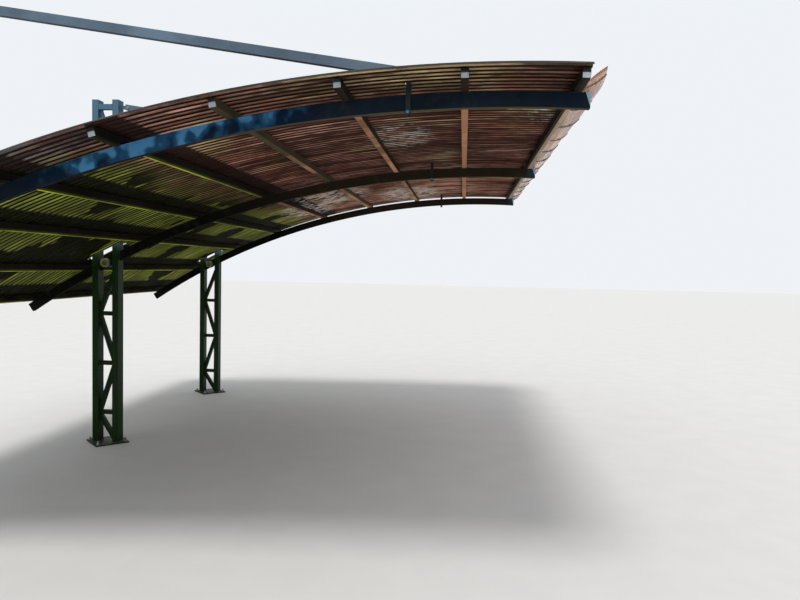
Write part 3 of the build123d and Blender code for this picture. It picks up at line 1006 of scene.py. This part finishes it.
def film_point(share, y):
    """Point of the hanging film: its lip wavers, and its near end runs out to a raised corner."""
    slack = share ** 2 * (0.008 + 0.003 * sin(4.3 * y) + 0.0015 * sin(11.0 * y + 1.0))
    end = max(0.0, 1 - (y + GUTTER_HALF) / FILM_END) ** 2
    point = gutter_line(share) + Vector((-slack, y, 0.4 * slack))
    return point + share * end * (FILM_CORNER + (1 - share) * FILM_BELLY)


class CARPORT_OT_gutter(bpy.types.Operator):
    """Bends the pale plastic strip past the high purlin, with its wire ties"""
    bl_idname = "carport.gutter"
    bl_label = "Gutter strip"

    def execute(self, context):
        sizes = context.scene.carport_sizes
        bm = bmesh.new()
        bmesh.ops.create_grid(bm, x_segments=18, y_segments=150, size=0.5)
        for vert in bm.verts:
            vert.co = film_point(vert.co.x + 0.5, vert.co.y * 2 * GUTTER_HALF)
        face_up(bm)
        material = gutter_plastic(context.scene.carport_colours.film)
        strip = finish_piece("gutter_strip", bm, material, replaced=["gutter"])
        add_wall(strip, "strip_wall", GUTTER_THICKNESS)
        radius = sizes.tie_wire / 2
        lines = []
        count = int(2 * GUTTER_HALF / sizes.tie_spacing)
        for number in range(count + 1):
            y = TIE_INSET - GUTTER_HALF + number * 2 * (GUTTER_HALF - TIE_INSET) / count
            line = [(film_point(share, y) + Vector((0, 0, -radius - 0.0005)),
                     radius * (TIE_KNOT if share in KNOT_SHARES else 1.0)) for share in TIE_SHARES]
            hook = film_point(1.0, y) + Vector((0.0015, 0, 0.001))
            over = film_point(0.94, y) + Vector((-0.002, 0.002, GUTTER_THICKNESS + radius))
            lines.append((line + [(hook, radius), (over, radius)], False))
        finish_piece("gutter_ties", tubes_along(lines), bpy.data.materials["purlin_paint"])
        return {"FINISHED"}


# Masts
ANCHOR_NUT = {"across": 0.024, "head": 0.013, "washer": 0.003, "washer_radius": 0.015, "stud_radius": 0.008}
RING_BOLT = {"across": 0.024, "head": 0.012, "washer": 0.003, "washer_radius": 0.019}
STAY_PIN = {"across": 0.017, "head": 0.008, "washer": 0.002, "washer_radius": 0.012, "stud_radius": 0.005}
BLUE_CAP = (0.035, 0.24, 0.42)


def lacing_lines():
    """Centre lines of the struts and the diagonals, as pairs of (x, z) points."""
    low = [FIRST_STRUT + step * STRUT_PITCH for step in range(STRUTS_BELOW)]
    top = MAST_HEIGHT - TOP_BAR_DROP - LACING_TUBE
    arch_under = ARCH_MIDDLE.z - ARCH_DEPTH
    arch_over = ARCH_MIDDLE.z + ARCH_DEPTH + PURLIN_HEIGHT
    pitch = (top - arch_over) / (STRUTS_ABOVE + 1)
    high = [arch_over + (step + 1) * pitch for step in range(STRUTS_ABOVE)]
    feet = [PLATE_THICKNESS, *low, arch_over, *high]
    heads = [*low, arch_under, *high, top]
    lines = []
    side = -1
    for foot, head in zip(feet, heads):
        lines.append(((side * CHORD_IN, head - DIAGONAL_SETBACK), (-side * CHORD_IN, foot + DIAGONAL_SETBACK)))
        side = -side
    return lines + [((-CHORD_IN, z), (CHORD_IN, z)) for z in low + high]


def mast_beads(y, width):
    """Weld beads at the ends of the lacing, round the chords' feet and round the arch."""
    outlines = []
    half = LACING_TUBE / 2
    for start, end in lacing_lines():
        tilt = atan2(abs(end[1] - start[1]), abs(end[0] - start[0]))
        outlines += [rectangle(x, y, z, half, half / cos(tilt)) for x, z in (start, end)]
    bar = TOP_BAR / 2
    for side in (-1, 1):
        outlines.append(rectangle(side * CHORD_IN, y - CHORD_Y / 2 + bar, MAST_HEIGHT - TOP_BAR_DROP - bar,
                                  bar, bar))
        outlines.append([Vector((side * CHORD_MIDDLE + dx * (CHORD_OUT - CHORD_MIDDLE), y + dy * CHORD_Y / 2,
                                 PLATE_THICKNESS)) for dx, dy in CORNERS])
        for x in (side * CHORD_IN, side * CHORD_OUT):
            angle = angle_at(x)
            middle = arch_point(angle, ARCH_RADIUS - ARCH_DEPTH / 2).z
            outlines.append(rectangle(x, y, middle, ARCH_WIDTH / 2, ARCH_DEPTH / 2 / cos(angle)))
    outlines.append(rectangle(CHORD_OUT, y, stay_z(CHORD_OUT) - LUG_DROP, LUG_THICKNESS / 2, LUG_HEIGHT / 2))
    return [bead(corners, width) for corners in outlines]


def ring_beads(y, width):
    """Weld beads where the two rings meet the arch's faces."""
    lines = []
    for side in (-1, 1):
        face = y + side * ARCH_WIDTH / 2
        round_ring = [Vector((RING_MIDDLE.x + RING_OUTER * cos(turn * pi / 12), face,
                              RING_MIDDLE.z + RING_OUTER * sin(turn * pi / 12))) for turn in range(24)]
        lines.append(bead(round_ring, width))
    return lines


def roof_beads(y, width):
    """Weld beads where the purlins sit on the arch and the hanger's bars pass the stay."""
    lines = []
    for angle in PURLIN_ANGLES:
        for side in (-1, 1):
            place = arch_place(angle, ARCH_RADIUS, y) @ Matrix.Translation((side * PURLIN_WIDTH / 2, 0, 0))
            line = [place @ Vector((0, end * ARCH_WIDTH * 0.45, 0)) for end in (-1, 1)]
            lines.append(bead(line, width, False))
    for side in (-1, 1):
        for x in (HANGER_X - HANGER_BAR_HALF, HANGER_X + HANGER_BAR_HALF):
            line = [Vector((x, y + side * STAY_WIDTH / 2, stay_z(x) + rise * STAY_HEIGHT * 0.42))
                    for rise in (-1, 1)]
            lines.append(bead(line, width * 0.8, False))
    return lines


class CARPORT_OT_weld_beads(bpy.types.Operator):
    """Runs weld beads round the lacing, feet, arches, rings and purlins"""
    bl_idname = "carport.weld_beads"
    bl_label = "Weld beads"

    def execute(self, context):
        width = context.scene.carport_sizes.weld_width
        material = weld_metal(context.scene.carport_colours)
        for name, y in MASTS.items():
            finish_piece(f"{name}_mast_welds", tubes_along(mast_beads(y, width)), material, 1.2)
            finish_piece(f"{name}_arch_welds", tubes_along(ring_beads(y, width) + roof_beads(y, width)),
                         bpy.data.materials["arch_paint"], 1.2)
        return {"FINISHED"}


class CARPORT_OT_bolts(bpy.types.Operator):
    """Fits the anchor nuts, the bolts in the rings and the pins through the stays' ends"""
    bl_idname = "carport.bolts"
    bl_label = "Bolts and nuts"

    def execute(self, context):
        zinc = bpy.data.materials["zinc"]
        blue_cap = painted_steel("blue_cap", BLUE_CAP, 0.22, wear=0.0, dust=0.2, sheen=0.5)
        pin_x = CHORD_OUT + STAY_START + STAY_PIN_IN
        pin_z = stay_z(pin_x) - STAY_PIN_DROP
        low_bolt = HANGER_Z - (ARCH_DEPTH + HANGER_BOLT / 2) / cos(angle_at(HANGER_X)) - FIT
        for name, y in MASTS.items():
            anchors, pins, caps = bmesh.new(), bmesh.new(), bmesh.new()
            for dx, dy in ((1, 0), (-1, 0), (0, 1), (0, -1)):
                turn = Matrix.Rotation(0.4 * dx + 0.9 * dy, 4, "Z")
                place = Matrix.Translation((dx * ANCHOR_REACH, y + dy * ANCHOR_REACH, PLATE_THICKNESS)) @ turn
                add_bolt(anchors, place, **ANCHOR_NUT, stud=0.012 + 0.006 * (dx + 1))
            for side in (-1, 1):
                turn = Matrix.Rotation(-side * pi / 2, 4, "X")
                ring = Matrix.Translation((RING_MIDDLE.x, y + side * ARCH_WIDTH / 2, RING_MIDDLE.z)) @ turn
                add_bolt(pins, ring, **RING_BOLT)
                pin = Matrix.Translation((pin_x, y + side * STAY_WIDTH / 2, pin_z)) @ turn
                add_bolt(pins, pin, **STAY_PIN, stud=0.006 if side > 0 else 0.0)
                cap = Matrix.Translation((HANGER_X, y + side * HANGER_NUT_FACE, low_bolt))
                bmesh.ops.create_uvsphere(caps, u_segments=14, v_segments=8, radius=HANGER_CAP, matrix=cap)
            finish_piece(f"{name}_anchor_nuts", anchors, zinc, 0.4)
            finish_piece(f"{name}_pins", pins, zinc, 0.4)
            finish_piece(f"{name}_hanger_caps", caps, blue_cap, 0.8)
        return {"FINISHED"}


class CARPORT_OT_purlin_caps(bpy.types.Operator):
    """Closes the purlins' ends with pressed caps, pale with painted sunlight below and dark with painted shade
    above
    """
    bl_idname = "carport.purlin_caps"
    bl_label = "Purlin end caps"

    def execute(self, context):
        caps = bmesh.new()
        for angle in PURLIN_ANGLES:
            for side in (-1, 1):
                place = arch_place(angle, ARCH_RADIUS + PURLIN_HEIGHT / 2, side * (ROOF_HALF + 0.0015))
                add_box(caps, place, (PURLIN_WIDTH - 0.003, 0.003, PURLIN_HEIGHT - 0.003), 0.0012)
                raised = place @ Matrix.Translation((0, side * 0.0025, 0))
                add_box(caps, raised, (PURLIN_WIDTH * 0.6, 0.002, PURLIN_HEIGHT * 0.62), 0.0008)
        finish_piece("purlin_caps", caps, end_cap_paint(), 0.4)
        return {"FINISHED"}


class CARPORT_OT_frame_finishes(bpy.types.Operator):
    """Paints the steel frame"""
    bl_idname = "carport.frame_finishes"
    bl_label = "Frame finishes"

    def execute(self, context):
        colours = context.scene.carport_colours
        build_groups()
        finishes = {"mast_paint": mast_paint(colours), "arch_paint": arch_paint(colours),
                    "purlin_paint": purlin_paint(colours), "stay_paint": stay_paint(colours),
                    "bare_steel": painted_steel("hanger_paint", (0.010, 0.016, 0.020), 0.34, wear=0.4, dust=0.3,
                                             streaks=0.05, sheen=0.2)}
        zinc_plate(colours.zinc)
        for row in frame["record"]["subparts"]:
            finish = finishes.get(row["material_slot"])
            if finish:
                mesh = frame["nodes"][row["node"]].data
                mesh.materials.clear()
                mesh.materials.append(finish)
        return {"FINISHED"}


# Stage
FLOOR_REACH = 60.0
ROOM_LIGHT = (0.93, 0.96, 1.0, 1.0)
ROOM_STRENGTH = 0.62
BACKDROP = (0.86, 0.89, 0.92, 1.0)
CAMERA_PLACE = (3.4208, -6.309, 1.7679)
CAMERA_SENSOR = 36
CAMERA_FOCUS = 682.39 / 800 * CAMERA_SENSOR
CAMERA_DOWN = 0.0489
CAMERA_YAW = -0.0918
CAMERA_ROLL = 0.0212


def camera_turn():
    ahead = cos(CAMERA_DOWN)
    forward = Vector((sin(CAMERA_YAW) * ahead, cos(CAMERA_YAW) * ahead, -sin(CAMERA_DOWN)))
    level = Vector((cos(CAMERA_YAW), -sin(CAMERA_YAW), 0))
    upright = level.cross(forward)
    right = cos(CAMERA_ROLL) * level + sin(CAMERA_ROLL) * upright
    up = -sin(CAMERA_ROLL) * level + cos(CAMERA_ROLL) * upright
    return Matrix((right, up, -forward)).transposed()


def add_lamp(name, towards, softness, strength, colour):
    """Even light from one side, as from a large far-off panel."""
    lamp = bpy.data.lights.new(name, "SUN")
    lamp.angle = softness
    lamp.energy = strength
    lamp.color = colour
    holder = bpy.data.objects.new(name, lamp)
    holder.rotation_euler = Vector(towards).to_track_quat("-Z", "Y").to_euler()
    bpy.context.scene.collection.objects.link(holder)


def studio_world():
    """Even light on the object, and a pale backdrop where the camera, gloss and glass see past it."""
    world = bpy.data.worlds.new("studio")
    world.use_nodes = True
    tree = world.node_tree
    tree.nodes.clear()
    rays = add_node(tree, "ShaderNodeLightPath")
    seen = calculate("ADD", Pattern(rays, "Is Camera Ray") + Pattern(rays, "Is Glossy Ray"),
                     Pattern(rays, "Is Transmission Ray"), clamp=True)
    light = Pattern(add_node(tree, "ShaderNodeBackground", {"Color": ROOM_LIGHT, "Strength": ROOM_STRENGTH}))
    behind = Pattern(add_node(tree, "ShaderNodeBackground", {"Color": BACKDROP, "Strength": 1.0}))
    mixed = Pattern(add_node(tree, "ShaderNodeMixShader", {0: seen, 1: light, 2: behind}))
    add_node(tree, "ShaderNodeOutputWorld", {"Surface": mixed})
    return world


class CARPORT_OT_stage(bpy.types.Operator):
    """Sets the floor, the soft lights and the camera"""
    bl_idname = "carport.stage"
    bl_label = "Stage"

    def execute(self, context):
        scene = context.scene
        bm = bmesh.new()
        bmesh.ops.create_grid(bm, x_segments=1, y_segments=1, size=FLOOR_REACH)
        mesh = bpy.data.meshes.new("floor")
        bm.to_mesh(mesh)
        bm.free()
        mesh.materials.append(floor_finish(scene.carport_colours.floor))
        floor = bpy.data.objects.new("floor", mesh)
        scene.collection.objects.link(floor)

        scene.world = studio_world()
        add_lamp("key", towards=(0.25, 0.9, -2.2), softness=0.3, strength=1.5, colour=(1.0, 0.98, 0.95))
        add_lamp("fill", towards=(0.9, 3.0, -1.3), softness=1.0, strength=0.35, colour=(0.95, 0.97, 1.0))

        camera = bpy.data.cameras.new("camera")
        camera.sensor_width = CAMERA_SENSOR
        camera.lens = CAMERA_FOCUS
        camera.clip_end = 300
        holder = bpy.data.objects.new("camera", camera)
        holder.matrix_world = Matrix.Translation(CAMERA_PLACE) @ camera_turn().to_4x4()
        scene.collection.objects.link(holder)
        scene.camera = holder
        scene.view_settings.view_transform = "Standard"
        return {"FINISHED"}


class CARPORT_PT_panel(bpy.types.Panel):
    bl_idname = "CARPORT_PT_panel"
    bl_label = "Carport"
    bl_space_type = "VIEW_3D"
    bl_region_type = "UI"
    bl_category = "Carport"

    def draw(self, context):
        for group in (context.scene.carport_sizes, context.scene.carport_colours):
            for name in group.__annotations__:
                self.layout.prop(group, name)
        for step in STEPS:
            self.layout.operator(step.bl_idname)


STEPS = (CARPORT_OT_stage, CARPORT_OT_frame_finishes, CARPORT_OT_roof_sheets, CARPORT_OT_roof_screws,
         CARPORT_OT_gutter, CARPORT_OT_weld_beads, CARPORT_OT_bolts, CARPORT_OT_purlin_caps)
CLASSES = (CarportSizes, CarportColours, *STEPS, CARPORT_PT_panel)


def register():
    for part in CLASSES:
        bpy.utils.register_class(part)
    bpy.types.Scene.carport_sizes = bpy.props.PointerProperty(type=CarportSizes)
    bpy.types.Scene.carport_colours = bpy.props.PointerProperty(type=CarportColours)


def unregister():
    del bpy.types.Scene.carport_sizes
    del bpy.types.Scene.carport_colours
    for part in reversed(CLASSES):
        bpy.utils.unregister_class(part)


def main():
    register()
    bpy.ops.carport.stage()
    bpy.ops.carport.frame_finishes()
    bpy.ops.carport.roof_sheets()
    bpy.ops.carport.roof_screws()
    bpy.ops.carport.gutter()
    bpy.ops.carport.weld_beads()
    bpy.ops.carport.bolts()
    bpy.ops.carport.purlin_caps()


if __name__ == "__main__":
    main()
